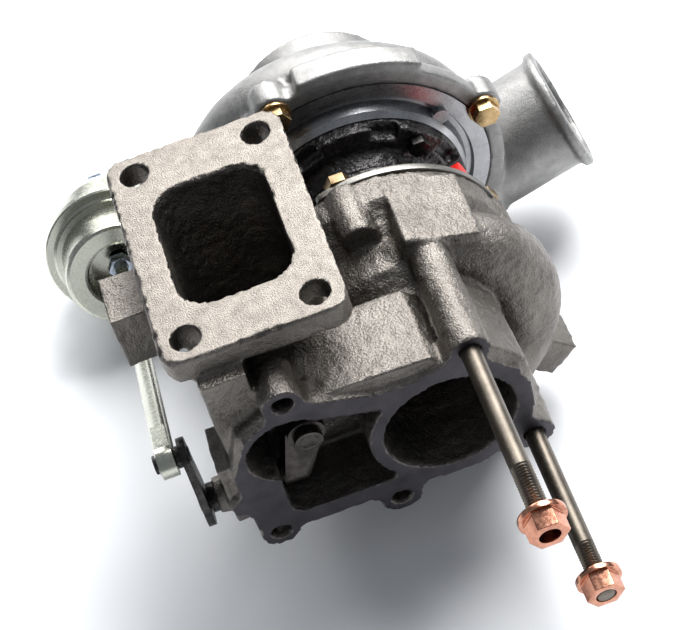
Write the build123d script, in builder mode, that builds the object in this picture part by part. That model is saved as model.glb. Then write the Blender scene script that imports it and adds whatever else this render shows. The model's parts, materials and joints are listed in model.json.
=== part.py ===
"""Turbocharger with an internal wastegate and its pressure actuator, as an assembly of separate pieces.

Millimetres. The shaft runs along Y, from the turbine outlet (y = 0) to the compressor inlet. +Z is
the way the turbine inlet flange faces. The origin is the centre of the turbine outlet bore, in the
machined outlet face.
"""
from build123d import *
from math import cos, radians, sin
import os

# ---- Driving dimensions ---------------------------------------------------------------------------
RUNNING = 0.05             # radial clearance of a shaft in its bearing
WHEEL_GAP = 0.4            # wheel tips to their shrouds

# Turbine inlet flange (standard rectangular four-bolt pattern)
INLET_X, INLET_Y, INLET_TOP = -57.4, 66.3, 72.0
INLET_SPACING_X, INLET_SPACING_Y = 49.2, 84.1
INLET_HOLE_R = 5.5
INLET_FLANGE = (71.0, 104.5)
INLET_FLANGE_THICK = 11.5
INLET_PORT = (44.5, 59.5)
INLET_PORT_CORNER = 12.0

# Turbine scroll and outlet
SCROLL_Y = 57.0
SCROLL_WALL = 5.0
OUTLET_R = 26.5
OUTLET_FLANGE_THICK = 5.0
NECK_END = 38.0
CHAMBER_DEPTH = 27.0
SEAT_Y = 27.0
VALVE_X, VALVE_Z = -53.0, 13.5
VALVE_R = 12.5
VALVE_PORT_R = 9.5
TAPPED_R = 4.1
STUD_R = 4.0
UPPER_STUD = (13.2, 39.0)
LOWER_STUD = (30.5, -27.0)
TAPPED = [(-57.6, 46.3), (-75.2, -31.5), (-26.0, -37.3)]
TURBINE_REAR = 86.0

# Rotor
SHAFT_R = 4.0
TAIL_R = 3.0               # the shaft's thinner compressor end
TURBINE_TIP_R, TURBINE_EYE_R = 29.0, 24.6
TURBINE_BLADES = 11
COMPRESSOR_TIP_R, COMPRESSOR_EYE_R = 30.0, 21.5
COMPRESSOR_BLADES = 6
BEARING_OUTER_R = 7.0

# Clamp plates and their bolts
CLAMP_R = 47.0
CLAMP_OUTER_R = 51.3
CLAMP_THICK = 2.8
CLAMP_ANGLES = [11, 101, 191, 281]

# Centre housing
BARREL_R = 33.0
CENTRE_FRONT, CENTRE_REAR = 82.8, 121.0
OIL_ANGLE = 20.0
OIL_Y = 101.0
OIL_DRAIN_R = 7.0
CENTRE_FLANGE_R = 43.5
CENTRE_END_R = 46.0
CENTRE_BOLT_SHANK_R = 2.5

# Backplate and compressor housing
RIM_Y = 126.2
BACKPLATE_R = 59.4
BACKPLATE_THICK = 4.4
DIFFUSER_GAP = 4.2
COVER_R = 66.5
COVER_BOLT_R = 64.0
COVER_BOLT_ANGLES = [21, 111, 201, 291]
SNOUT_R = 35.0
SNOUT_END = 189.0
SNOUT_COLLAR_R, SNOUT_COLLAR_END = 37.6, 174.5
PIPE_ANGLE = 287.0
PIPE_R = 25.4
PIPE_WALL = 2.8
PIPE_LENGTH = 89.5
BEAD_R = 28.0

# Wastegate crank and actuator
CRANK_Y, CRANK_Z = 15.0, -14.5
CRANK_R = 4.0
LEVER_LENGTH = 27.5
LEVER_REST = 8.0           # degrees past upright at rest
LEVER_X, LEVER_THICK = -100.6, 3.0
LEVER_HUB_R, LEVER_EYE_R = 10.5, 7.0
ROD_X = -106.5
ROD_TILT = 18.0            # the actuator rod falls this many degrees on its way back to the can

# Stations along the actuator rod, measured from the lever pin
ROD_SLEEVE_END = 77.0
LOCK_NUT_FACE, LOCK_NUT_THICK = 147.0, 5.0
CAN_FRONT, CAN_REAR = 142.0, 196.0
RECESS_FLOOR = 157.0
CAN_STEP_FRONT = 159.6
CAN_RIM_FRONT, CAN_RIM_REAR = 162.5, 166.8
DIAPHRAGM_FRONT, DIAPHRAGM_REAR = 163.7, 164.5
PISTON_LIP, PISTON_FRONT, PISTON_REAR = 170.0, 176.0, 178.0
BRACKET_THICK = 3.0
NIPPLE_END = 215.0

# Radii about the actuator rod
ROD_R, SLEEVE_R = 3.0, 4.0
ROD_HOLE_R = 4.2
RECESS_R = 14.6
CAN_R = 25.0
CAN_STEP_R = 27.4
CAN_RIM_R = 32.0
CAN_WALL = 1.2
NIPPLE_R, NIPPLE_BORE_R = 3.0, 1.6
CAN_STUD_OFFSET = 14.0
BRACKET_LEG_X = (-71.0, -68.0)
BRACKET_BOLT_AT = 150.0
BRACKET_BOLT_OFFSET = 9.0

PIN_Y = CRANK_Y + LEVER_LENGTH * sin(radians(LEVER_REST))
PIN_Z = CRANK_Z + LEVER_LENGTH * cos(radians(LEVER_REST))
ROD_WAY = (0.0, cos(radians(ROD_TILT)), -sin(radians(ROD_TILT)))
ROD_UP = (0.0, sin(radians(ROD_TILT)), cos(radians(ROD_TILT)))


# ---- Helpers --------------------------------------------------------------------------------------
def station(y):
    """The plane across the shaft at y, with its x along X and its y along Z."""
    return Plane.XZ.offset(-y)


def spoke(angle, radius, y):
    """A plane through the shaft axis at an angle: x points outwards and y points along the shaft."""
    across, up = cos(radians(angle)), sin(radians(angle))
    return Plane(origin=(radius * across, y, radius * up), x_dir=(across, 0, up), z_dir=(-up, 0, across))


def polar(radius, angle):
    """Sketch position on a station plane, at an angle from +X towards +Z."""
    return (radius * cos(radians(angle)), radius * sin(radians(angle)))


def disc(places, radius, start, end, mode=Mode.ADD):
    """Round bars or holes along the shaft direction, at the given (x, z) places."""
    with BuildSketch(station(start)) as circle:
        with Locations(*places):
            Circle(radius)
    extrude(circle.sketch, amount=start - end, mode=mode)


def bar(start, end, radius, mode=Mode.ADD):
    """A round bar or hole between any two points."""
    run = Vector(*end) - Vector(*start)
    with BuildSketch(Plane(origin=start, z_dir=run)) as circle:
        Circle(radius)
    extrude(circle.sketch, amount=run.length, mode=mode)


def turned(points, mode=Mode.ADD, x=0.0, z=0.0):
    """A solid of revolution about the shaft, or about a line beside it, from its (radius, y) outline."""
    with BuildSketch(Plane(origin=(x, 0, z))) as outline:
        with BuildLine():
            Polyline(*points, close=True)
        make_face()
    revolve(outline.sketch, axis=Axis((x, 0, z), (0, 1, 0)), mode=mode)


def scroll(start, end, tube, centre, level, mode=Mode.ADD, steps=10):
    """A circular tube that follows the shaft round, its size and place given as functions of angle."""
    sections = []
    for i in range(steps + 1):
        angle = start + (end - start) * i / steps
        with BuildSketch(spoke(angle, centre(angle), level(angle))) as section:
            Circle(tube(angle))
        sections.append(section.sketch)
    loft(sections, mode=mode)


def save(builder, name):
    """Label a finished piece and write it to its own file."""
    builder.part.label = name
    export_step(builder.part, f"parts/{name}.step")


os.makedirs("parts", exist_ok=True)


# ---- Turbine housing ------------------------------------------------------------------------------
def turbine_shrink(angle):
    """How far the scroll has closed, 0 at the inlet and 1 after three quarters of a turn."""
    return (max(angle - 180.0, 0.0) / 270.0) ** 1.6


def turbine_tube(angle):
    return 27.0 - 18.0 * turbine_shrink(angle)


def turbine_centre(angle):
    return 57.0 - 24.0 * turbine_shrink(angle)


def outlet_outline(y):
    """The outlet flange at y: bosses round the bolts, joined by a web with rounded inner corners."""
    with BuildSketch(station(y)) as outline:
        Circle(34.0)
        with BuildLine():
            Polyline((-62, 42), (-76, 33), (-84, 14), (-84.5, 0), (-89, -5), (-89, -10.5), (-84, -14),
                     (-82.5, -31.5), (-75, -32), (0, -32), (30, -27), (33, -6), (30, 18), (13.2, 38),
                     (5, 38), (-8, 33.5), (-24, 34), (-50, 43), close=True)
        make_face()
        with Locations(UPPER_STUD, TAPPED[0], TAPPED[1]):
            Circle(8.0)
        with Locations(LOWER_STUD, TAPPED[2]):
            Circle(8.6)
        offset(amount=6.0, kind=Kind.ARC)
        offset(amount=-6.0, kind=Kind.ARC)
    return outline.sketch


def chamber_outline(y):
    """The wastegate chamber at y: a round pocket for the valve, open into a squarer well."""
    with BuildSketch(station(y)) as outline:
        with BuildLine():
            Polyline((-68, 14), (-68, -19), (-64, -23), (-26, -23), (-24, 23), (-38, 27.5), (-48, 31),
                     close=True)
        make_face()
        with Locations((-60, 18)):
            Circle(17.5)
        Circle(32.4, mode=Mode.SUBTRACT)
    return outline.sketch


def block(low, high, mode=Mode.ADD):
    """A plain box between two corners."""
    size = [b - a for a, b in zip(low, high)]
    middle = [(a + b) / 2 for a, b in zip(low, high)]
    with Locations(tuple(middle)):
        Box(*size, mode=mode)


def turbine_inlet_duct(outer, mode=Mode.ADD):
    """The duct from the inlet flange down into the start of the scroll."""
    wall = SCROLL_WALL if outer else 0.0
    top = INLET_TOP - (INLET_FLANGE_THICK - 1.0 if outer else 0.0)
    half = turbine_tube(180) - SCROLL_WALL + wall + 0.5
    with BuildSketch(Plane.XY.offset(top)) as mouth:
        with Locations((INLET_X, INLET_Y)):
            RectangleRounded(INLET_PORT[0] + 2 * wall, INLET_PORT[1] + 2 * wall, INLET_PORT_CORNER + wall)
    with BuildSketch(Plane.XY) as throat:
        with Locations((-turbine_centre(180), SCROLL_Y)):
            RectangleRounded(2 * half, 2 * half, half - 4)
    loft([throat.sketch, mouth.sketch], mode=mode)


def turbine_outside():
    """Everything solid on the turbine housing, before it is hollowed."""
    scroll(180, 460, turbine_tube, turbine_centre, lambda angle: SCROLL_Y)
    turbine_inlet_duct(outer=True)
    with BuildSketch(Plane.XY.offset(INLET_TOP - INLET_FLANGE_THICK)) as flange:
        with Locations((INLET_X, INLET_Y)):
            RectangleRounded(*INLET_FLANGE, 7.5)
    extrude(flange.sketch, amount=INLET_FLANGE_THICK)
    turned([(0, 24), (28, 24), (34, 42), (40, 49), (41, 62), (46, 70), (50.5, 75), (50.5, TURBINE_REAR),
            (0, TURBINE_REAR)])
    extrude(outlet_outline(0), amount=-OUTLET_FLANGE_THICK - 6)
    with BuildSketch(station(2.5)) as neck:
        with BuildLine():
            Polyline((-50, 41.5), (-62, 44), (-78, 34), (-84, 16), (-84, -16), (-78, -32), (0, -34), (30, -27),
                     (36.5, -4), (33, 20), (20, 36), (5, 33.5), (-1, 40.5), close=True)
        make_face()
        fillet(neck.vertices(), radius=3)
    extrude(neck.sketch, amount=2.5 - NECK_END, taper=2)
    disc([UPPER_STUD], 8.0, 0, 54)
    disc([LOWER_STUD], 8.6, 0, 46)
    disc([TAPPED[0]], 8.0, 0, 17)
    disc(TAPPED[1:], 8.2, 0, 15)
    block((-83.5, 8, -20), (-66, 34, 61))
    block((-108, 55, 29), (-82, 77, 57))
    block((-89.5, 5, -22), (-82, 26, 14))
    bar((-94, CRANK_Y, CRANK_Z), (-80, CRANK_Y, CRANK_Z), 7.2)
    for angle in CLAMP_ANGLES:
        disc([polar(CLAMP_R - 1, angle)], 7.5, 62, TURBINE_REAR)


def turbine_pad_and_foot():
    """The sloping sensor pad on top and the square foot lug low on the far side."""
    with BuildSketch(Plane(origin=(20.7, 65.8, 45.9), x_dir=(0.9455, 0, -0.3256), z_dir=(0.3256, 0, 0.9455))) as pad:
        Rectangle(31.0, 33.0)
    extrude(pad.sketch, amount=-16)
    with BuildSketch(spoke(317, 68.6, 56)) as foot:
        Rectangle(22, 19)
    extrude(foot.sketch, amount=9, both=True)


def turbine_inside():
    """The gas passages, the wheel space and the seat for the centre housing."""
    scroll(180, 455, lambda a: turbine_tube(a) - SCROLL_WALL, turbine_centre, lambda a: SCROLL_Y, Mode.SUBTRACT)
    turbine_inlet_duct(outer=False, mode=Mode.SUBTRACT)
    eye, tip = TURBINE_EYE_R + WHEEL_GAP, TURBINE_TIP_R + WHEEL_GAP
    turned([(0, -1), (OUTLET_R, -1), (OUTLET_R, 24), (eye, 34), (eye, 42), (eye + 1.3, 47), (tip - 0.4, 51.5), (tip, 53),
            (36, 53), (36, 61), (tip + 2, 61), (tip + 2, 66), (40, 66), (40, 82), (CENTRE_FLANGE_R, 82),
            (CENTRE_FLANGE_R, 87), (0, 87)],
           Mode.SUBTRACT)
    extrude(chamber_outline(-1), amount=-CHAMBER_DEPTH - 1, mode=Mode.SUBTRACT)
    disc([(VALVE_X, VALVE_Z)], VALVE_PORT_R, SEAT_Y - 1, 52, Mode.SUBTRACT)


def turbine_holes():
    """Bolt, stud and bushing holes."""
    with Locations(*[(INLET_X + i * INLET_SPACING_X / 2, INLET_Y + j * INLET_SPACING_Y / 2, INLET_TOP)
                     for i in (-1, 1) for j in (-1, 1)]):
        Hole(INLET_HOLE_R, depth=INLET_FLANGE_THICK + 4)
    disc(TAPPED, TAPPED_R, -1, 16, Mode.SUBTRACT)
    disc([UPPER_STUD, LOWER_STUD], STUD_R, -1, 30, Mode.SUBTRACT)
    bar((-110, CRANK_Y, CRANK_Z), (-60, CRANK_Y, CRANK_Z), 6.0, Mode.SUBTRACT)
    disc([polar(CLAMP_R, angle) for angle in CLAMP_ANGLES], 3.0, 70, TURBINE_REAR + 1, Mode.SUBTRACT)


with BuildPart() as turbine_housing:
    turbine_outside()
    turbine_pad_and_foot()
    turbine_inside()
    turbine_holes()
save(turbine_housing, "turbine_housing")


# ---- Outlet studs and nuts ------------------------------------------------------------------------
STUD_END = -76.5
NUT_FACE = {UPPER_STUD: -83.0, LOWER_STUD: -76.5}
NUT_HEIGHT = 9.0
NUT_FLANGE_R = 8.9
NUT_FLATS = 13.0


def hexagon(flats):
    """A hexagon in the current sketch, from its size across flats."""
    RegularPolygon(radius=flats / 2, side_count=6, major_radius=False)


with BuildPart() as outlet_studs:
    disc([UPPER_STUD, LOWER_STUD], STUD_R, STUD_END, 29.5)
save(outlet_studs, "outlet_studs")

with BuildPart() as outlet_nuts:
    for place, face in NUT_FACE.items():
        with BuildSketch(station(face)) as nut:
            with Locations(place):
                hexagon(NUT_FLATS)
        extrude(nut.sketch, amount=-NUT_HEIGHT)
        disc([place], NUT_FLANGE_R, face + NUT_HEIGHT - 2.2, face + NUT_HEIGHT)
        disc([place], STUD_R, face - 1, face + NUT_HEIGHT + 1, Mode.SUBTRACT)
save(outlet_nuts, "outlet_nuts")


# ---- Clamp plates and bolts -----------------------------------------------------------------------
def clamp_plate(middle):
    """One half-moon plate that holds the centre housing's flange down on the turbine housing."""
    half_span = 57.5
    with BuildPart() as plate:
        with BuildSketch(station(TURBINE_REAR)) as moon:
            Circle(CLAMP_OUTER_R)
            Circle(36.0, mode=Mode.SUBTRACT)
            with BuildLine():
                Polyline((0, 0), polar(80, middle - half_span), polar(90, middle), polar(80, middle + half_span),
                         close=True)
            make_face(mode=Mode.INTERSECT)
            fillet(moon.vertices(), radius=3)
        extrude(moon.sketch, amount=-CLAMP_THICK)
        disc([polar(CLAMP_R, a) for a in CLAMP_ANGLES], 3.0, 80, 95, Mode.SUBTRACT)
    return plate


save(clamp_plate(56), "clamp_plate_upper")
save(clamp_plate(236), "clamp_plate_lower")


def bolts(places, head_y, flats, head, shank_r, length, toward=1):
    """Hex bolts along the shaft direction: the head stands on head_y and the shank runs the other way."""
    with BuildPart() as group:
        with BuildSketch(station(head_y)) as heads:
            with Locations(*places):
                hexagon(flats)
        extrude(heads.sketch, amount=toward * head)
        disc(places, shank_r, head_y, head_y + toward * length)
    return group


CLAMP_PLACES = [polar(CLAMP_R, a) for a in CLAMP_ANGLES]
clamp_bolts = bolts(CLAMP_PLACES, TURBINE_REAR + CLAMP_THICK, 10, 4.5, 3.0, 17, toward=-1)
save(clamp_bolts, "clamp_bolts")


# ---- Centre housing -------------------------------------------------------------------------------
SEAL_R = 8.6
CIRCLIP_STARTS = [81.0, 92.0, 99.6]
CIRCLIP_THICK = 0.8
BEARING_LENGTH = 9.0
THRUST_FACE = 116.0
OIL_OUT = (cos(radians(OIL_ANGLE)), sin(radians(OIL_ANGLE)))
CENTRE_BOLT_R = 40.0
CENTRE_BOLT_ANGLES = [45, 135, 225, 315]


def along_oil(distance):
    """A point on the oil passage, measured from the shaft axis towards the inlet boss."""
    return (distance * OIL_OUT[0], OIL_Y, distance * OIL_OUT[1])


def centre_body():
    """The waisted barrel with a flange at each end."""
    turned([(0, 69), (13, 69), (15, 74), (16, 79), (24, 82), (36, CENTRE_FRONT),
            (CENTRE_FLANGE_R, CENTRE_FRONT), (CENTRE_FLANGE_R, TURBINE_REAR), (34, TURBINE_REAR), (33, 90), (27, 94),
            (26, 104), (31, 109), (33, 113), (34, 115), (CENTRE_END_R, 115), (CENTRE_END_R, CENTRE_REAR),
            (0, CENTRE_REAR)])
    for y in (91.0, 106.5):
        turned([(20, y - 1.4), (BARREL_R, y - 1.4), (BARREL_R, y + 1.4), (20, y + 1.4)])
    bar(along_oil(10), along_oil(39), 9.0)
    bar(along_oil(-10), along_oil(-36), 11.0)


def centre_inside():
    """Shaft bore, bearing bore, circlip grooves, oil gallery, oil drain and thrust recess."""
    disc([(0, 0)], SEAL_R, 60, 78, Mode.SUBTRACT)
    disc([(0, 0)], BEARING_OUTER_R, 77, 113, Mode.SUBTRACT)
    disc([(0, 0)], 17.0, 111, CENTRE_REAR + 1, Mode.SUBTRACT)
    for start in CIRCLIP_STARTS:
        disc([(0, 0)], BEARING_OUTER_R + 0.8, start, start + CIRCLIP_THICK, Mode.SUBTRACT)
    bar(along_oil(6), along_oil(42), 1.6, Mode.SUBTRACT)
    bar(along_oil(27), along_oil(42), 5.0, Mode.SUBTRACT)
    bar(along_oil(-6), along_oil(-16), 4.5, Mode.SUBTRACT)
    bar(along_oil(-14), along_oil(-40), OIL_DRAIN_R, Mode.SUBTRACT)
    disc([polar(CENTRE_BOLT_R, a) for a in CENTRE_BOLT_ANGLES], CENTRE_BOLT_SHANK_R, 110, 125,
         Mode.SUBTRACT)
    for angle in range(0, 360, 45):
        with BuildSketch(station(CENTRE_REAR - 6)) as pocket:
            with Locations(polar(43, angle + 22.5)):
                Rectangle(7, 12, rotation=angle + 22.5)
        extrude(pocket.sketch, amount=-4, mode=Mode.SUBTRACT)


with BuildPart() as centre_housing:
    centre_body()
    centre_inside()
save(centre_housing, "centre_housing")

with BuildPart() as oil_inlet_plug:
    bar(along_oil(34), along_oil(40), 4.95)
    bar(along_oil(39), along_oil(45.5), 6.2)
save(oil_inlet_plug, "oil_inlet_plug")

with BuildPart() as heat_shroud:
    turned([(15.4, 67.2), (35, 67.2), (37.4, 69), (37.4, 82), (43.4, 82), (43.4, 82.8), (36.6, 82.8), (36.6, 69.6),
            (34.6, 68), (15.4, 68)])
save(heat_shroud, "heat_shroud")


# ---- Bearings and seals ---------------------------------------------------------------------------
def ring(inner, outer, start, end):
    """A plain ring round the shaft."""
    with BuildPart() as part:
        disc([(0, 0)], outer, start, end)
        disc([(0, 0)], inner, start - 1, end + 1, Mode.SUBTRACT)
    return part


def journal_bearing(start):
    """A floating bronze bush with a row of oil holes."""
    with BuildPart() as bush:
        disc([(0, 0)], BEARING_OUTER_R - RUNNING, start, start + BEARING_LENGTH)
        disc([(0, 0)], SHAFT_R + RUNNING, start - 1, start + BEARING_LENGTH + 1, Mode.SUBTRACT)
        for angle in range(0, 360, 60):
            with BuildSketch(spoke(angle, 0, start + BEARING_LENGTH / 2).rotated((0, 90, 0))) as hole:
                Circle(0.9)
            extrude(hole.sketch, amount=10, mode=Mode.SUBTRACT)
    return bush


save(journal_bearing(82.4), "journal_bearing_turbine")
save(journal_bearing(101.0), "journal_bearing_compressor")

with BuildPart() as bearing_circlips:
    for start in CIRCLIP_STARTS:
        with BuildSketch(station(start)) as clip:
            Circle(BEARING_OUTER_R + 0.75)
            Circle(BEARING_OUTER_R - 1.2, mode=Mode.SUBTRACT)
            with Locations((0, -7)):
                Rectangle(4, 5, mode=Mode.SUBTRACT)
        extrude(clip.sketch, amount=-CIRCLIP_THICK)
save(bearing_circlips, "bearing_circlips")

with BuildPart() as thrust_bearing:
    disc([(0, 0)], 16.8, THRUST_FACE - 3.0, THRUST_FACE)
    disc([(0, 0)], 6.2, THRUST_FACE - 5, THRUST_FACE + 2, Mode.SUBTRACT)
    with BuildSketch(station(THRUST_FACE)) as ramps:
        with PolarLocations(9.5, 6):
            Rectangle(4.5, 1.2)
    extrude(ramps.sketch, amount=0.6, mode=Mode.SUBTRACT)
save(thrust_bearing, "thrust_bearing")

with BuildPart() as thrust_collar:
    turned([(TAIL_R, 111.4), (9.5, 111.4), (9.5, 112.8), (5.9, 112.8), (5.9, 116.2), (9.5, 116.2), (9.5, 117.6),
            (TAIL_R, 117.6)])
save(thrust_collar, "thrust_collar")

with BuildPart() as oil_slinger:
    turned([(TAIL_R, 117.6), (12.5, 117.6), (11.5, 119.4), (7.9, 119.6), (7.9, 123.2), (7.0, 123.2), (7.0, 124.6),
            (7.9, 124.6), (7.9, 127.4), (TAIL_R, 127.4)])
save(oil_slinger, "oil_slinger")

save(ring(7.35, SEAL_R, 73.5, 74.7), "piston_ring_turbine")
save(ring(7.35, 8.5, 123.3, 124.5), "piston_ring_compressor")


# ---- Rotor ----------------------------------------------------------------------------------------
def blades(count, first, stations, root, tip, thickness):
    """Twisted blades: each is lofted through straight radial sections turned by their own angle."""
    for i in range(count):
        sections = []
        for y, turn in stations:
            with BuildSketch(station(y)) as section:
                with Locations(Rot(0, 0, first + i * 360 / count + turn)):
                    with Locations(((root + tip) / 2, 0)):
                        Rectangle(tip - root, thickness)
            sections.append(section.sketch)
        loft(sections)


def turbine_wheel_and_shaft():
    blades(TURBINE_BLADES, 0, [(36, -38), (41, -22), (47, -9), (54, -1), (62, 0)], 5, 32, 1.3)
    turned([(0, 30), (TURBINE_EYE_R, 30), (TURBINE_EYE_R, 42), (TURBINE_EYE_R + 1.3, 47), (TURBINE_TIP_R - 0.4, 51.5),
            (TURBINE_TIP_R, 53), (TURBINE_TIP_R, 61.5), (0, 61.5)], Mode.INTERSECT)
    turned([(0, 32.5), (4.5, 32.5), (6.5, 36), (7.5, 43), (10.5, 50), (17, 57), (25.5, 61), (25.5, 63), (12, 65.4),
            (8.2, 65.6), (8.2, 73.4), (7.1, 73.4), (7.1, 74.8), (8.2, 74.8), (8.2, 76.5), (5, 78.5), (SHAFT_R, 79),
            (SHAFT_R, 111.4), (TAIL_R, 111.4), (TAIL_R, 168), (0, 168)])


with BuildPart() as turbine_rotor:
    turbine_wheel_and_shaft()
save(turbine_rotor, "turbine_rotor")

with BuildPart() as compressor_wheel:
    step = 360 / COMPRESSOR_BLADES
    blades(COMPRESSOR_BLADES, 0, [(129, -30), (134, -17), (141, 0), (150, 22), (157, 42)], 5, 33, 1.0)
    blades(COMPRESSOR_BLADES, step / 2, [(129, -30), (134, -17), (141, 0), (150, 22)], 5, 33, 1.0)
    turned([(0, 128), (COMPRESSOR_TIP_R, 128), (COMPRESSOR_TIP_R, 133.8), (27.5, 135), (23.5, 140),
            (COMPRESSOR_EYE_R, 147), (COMPRESSOR_EYE_R, 158), (0, 158)], Mode.INTERSECT)
    turned([(0, 127.4), (9, 127.4), (COMPRESSOR_TIP_R, 128.6), (COMPRESSOR_TIP_R, 129.8), (21, 131), (13.5, 137),
            (9, 146), (7.5, 158), (0, 158)])
    disc([(0, 0)], TAIL_R, 120, 170, Mode.SUBTRACT)
save(compressor_wheel, "compressor_wheel")

with BuildPart() as compressor_nut:
    with BuildSketch(station(158)) as flats:
        hexagon(10)
    extrude(flats.sketch, amount=-6.5)
    disc([(0, 0)], 6.6, 158, 160)
    disc([(0, 0)], TAIL_R, 150, 170, Mode.SUBTRACT)
save(compressor_nut, "compressor_nut")


# ---- Compressor backplate -------------------------------------------------------------------------
BACKPLATE_REAR = RIM_Y + BACKPLATE_THICK
DIFFUSER_TOP = BACKPLATE_REAR + DIFFUSER_GAP
COMPRESSOR_RING_BORE = 8.5
BACKPLATE_BOLT_END = 124.5

with BuildPart() as compressor_backplate:
    turned([(COMPRESSOR_RING_BORE, 120), (16.9, 120), (16.9, CENTRE_REAR), (CENTRE_END_R, CENTRE_REAR), (48, 123.5),
            (49.5, 128.2), (51.6, 128.2), (52.4, RIM_Y), (BACKPLATE_R, RIM_Y), (BACKPLATE_R, 127.6), (57.4, 127.6),
            (57.4, 129.6), (BACKPLATE_R, 129.6), (BACKPLATE_R, BACKPLATE_REAR), (31, BACKPLATE_REAR), (31, 127),
            (COMPRESSOR_RING_BORE, 127)])
    disc([polar(CENTRE_BOLT_R, a) for a in CENTRE_BOLT_ANGLES], CENTRE_BOLT_SHANK_R, 119, BACKPLATE_BOLT_END,
         Mode.SUBTRACT)
    disc([(41.5, 28.0)], 3.6, 124, 129)
save(compressor_backplate, "compressor_backplate")

backplate_bolts = bolts([polar(CENTRE_BOLT_R, a) for a in CENTRE_BOLT_ANGLES], CENTRE_REAR - 6, 8, 4.0,
                        CENTRE_BOLT_SHANK_R, 9)
save(backplate_bolts, "backplate_bolts")


def o_ring(radius, section, y):
    """A rubber ring of round section."""
    with BuildPart() as seal:
        with BuildSketch(Plane.XY) as profile:
            with Locations((radius, y)):
                Circle(section)
        revolve(profile.sketch, axis=Axis.Y)
    return seal


save(o_ring(58.4, 0.95, 128.6), "backplate_o_ring")


# ---- Compressor housing ---------------------------------------------------------------------------
COVER_WALL = 3.5
COVER_RADIUS = 50.5
COVER_FLOOR = 127.6


def compressor_growth(angle):
    """How far round the compressor scroll has opened, 0 at its tongue and 1 at the outlet."""
    return (angle - 300.0) / 347.0


def compressor_tube(angle):
    return 8.0 + 16.5 * compressor_growth(angle)


def compressor_level(angle):
    return COVER_FLOOR + compressor_tube(angle)


PIPE_Y = compressor_level(PIPE_ANGLE + 360.0)
PIPE_FOOT = polar(COVER_RADIUS, PIPE_ANGLE)
PIPE_WAY = (-sin(radians(PIPE_ANGLE)), cos(radians(PIPE_ANGLE)))


def along_pipe(distance):
    """A point on the outlet pipe's axis, measured from where it leaves the scroll."""
    return (PIPE_FOOT[0] + distance * PIPE_WAY[0], PIPE_Y, PIPE_FOOT[1] + distance * PIPE_WAY[1])


def along_rod(distance, up=0.0):
    """A point on the actuator rod's axis, or above it, measured from the lever pin."""
    return tuple(foot + distance * way + up * rise
                 for foot, way, rise in zip((ROD_X, PIN_Y, PIN_Z), ROD_WAY, ROD_UP))


def bracket_bolt_places(x):
    """Where the two bolts that hold the actuator bracket cross the plane at x."""
    places = [along_rod(BRACKET_BOLT_AT, up) for up in (BRACKET_BOLT_OFFSET, -BRACKET_BOLT_OFFSET)]
    return [(x, place[1], place[2]) for place in places]


def compressor_outside():
    """Scroll, rear flange with its bolt lugs, raised band, inlet snout and beaded outlet."""
    scroll(300, 647, compressor_tube, lambda a: COVER_RADIUS, compressor_level)
    turned([(0, RIM_Y), (COVER_R, RIM_Y), (COVER_R, 133), (58, 140), (44, 150), (SNOUT_COLLAR_R, 158),
            (SNOUT_COLLAR_R, SNOUT_COLLAR_END), (SNOUT_R, SNOUT_COLLAR_END), (SNOUT_R, SNOUT_END), (0, SNOUT_END)])
    disc([polar(COVER_BOLT_R, a) for a in COVER_BOLT_ANGLES], 8.2, RIM_Y, 138)
    bar(along_pipe(-2), along_pipe(PIPE_LENGTH), PIPE_R)
    bar(along_pipe(-2), along_pipe(46), PIPE_R + 1.4)
    bar(along_pipe(PIPE_LENGTH - 4.5), along_pipe(PIPE_LENGTH - 0.5), BEAD_R)
    with BuildSketch(station(RIM_Y + 0.8)) as band:
        Circle(69.8)
        with BuildLine():
            Polyline((0, 0), polar(90, 55), polar(90, 100), close=True)
        make_face(mode=Mode.INTERSECT)
    extrude(band.sketch, amount=-11.5)
    for place in bracket_bolt_places(BRACKET_LEG_X[1]):
        bar(place, (-48, place[1], place[2]), 6.5)


def compressor_inside():
    """Backplate recess, diffuser, scroll passage, shroud, inlet bore and outlet bore."""
    scroll(300, 647, lambda a: compressor_tube(a) - COVER_WALL, lambda a: COVER_RADIUS, compressor_level, Mode.SUBTRACT)
    eye, tip = COMPRESSOR_EYE_R + WHEEL_GAP, COMPRESSOR_TIP_R + WHEEL_GAP
    turned([(0, 125), (BACKPLATE_R, 125), (BACKPLATE_R, BACKPLATE_REAR), (52, BACKPLATE_REAR), (52, DIFFUSER_TOP),
            (tip, DIFFUSER_TOP), (27.9, 135.6), (23.9, 140.2), (eye, 147), (eye, 158), (30.5, 178), (30.5, 191),
            (0, 191)], Mode.SUBTRACT)
    bar(along_pipe(-4), along_pipe(PIPE_LENGTH + 1), PIPE_R - PIPE_WALL, Mode.SUBTRACT)
    disc([polar(COVER_BOLT_R, a) for a in COVER_BOLT_ANGLES], 3.0, 125, 137, Mode.SUBTRACT)
    for place in bracket_bolt_places(BRACKET_LEG_X[0]):
        bar(place, (-58, place[1], place[2]), 3.0, Mode.SUBTRACT)


with BuildPart() as compressor_housing:
    compressor_outside()
    compressor_inside()
save(compressor_housing, "compressor_housing")

COVER_PLACES = [polar(COVER_BOLT_R, a) for a in COVER_BOLT_ANGLES]
WASHER_THICK = 1.6

with BuildPart() as compressor_washers:
    disc(COVER_PLACES, 6.8, RIM_Y - WASHER_THICK, RIM_Y)
    disc(COVER_PLACES, 3.0, RIM_Y - WASHER_THICK - 1, RIM_Y + 1, Mode.SUBTRACT)
save(compressor_washers, "compressor_washers")

compressor_bolts = bolts(COVER_PLACES, RIM_Y - WASHER_THICK, 10, 4.6, 3.0, 12)
save(compressor_bolts, "compressor_bolts")


# ---- Wastegate ------------------------------------------------------------------------------------
BUSHING_R = 6.0
BUSHING_ENDS = (-97.0, -68.3)
HUB_X = (-67.2, -58.0)
VALVE_BACK = SEAT_Y - 0.05


def crank_at(x):
    """A point on the wastegate crank's axis."""
    return (x, CRANK_Y, CRANK_Z)


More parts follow.
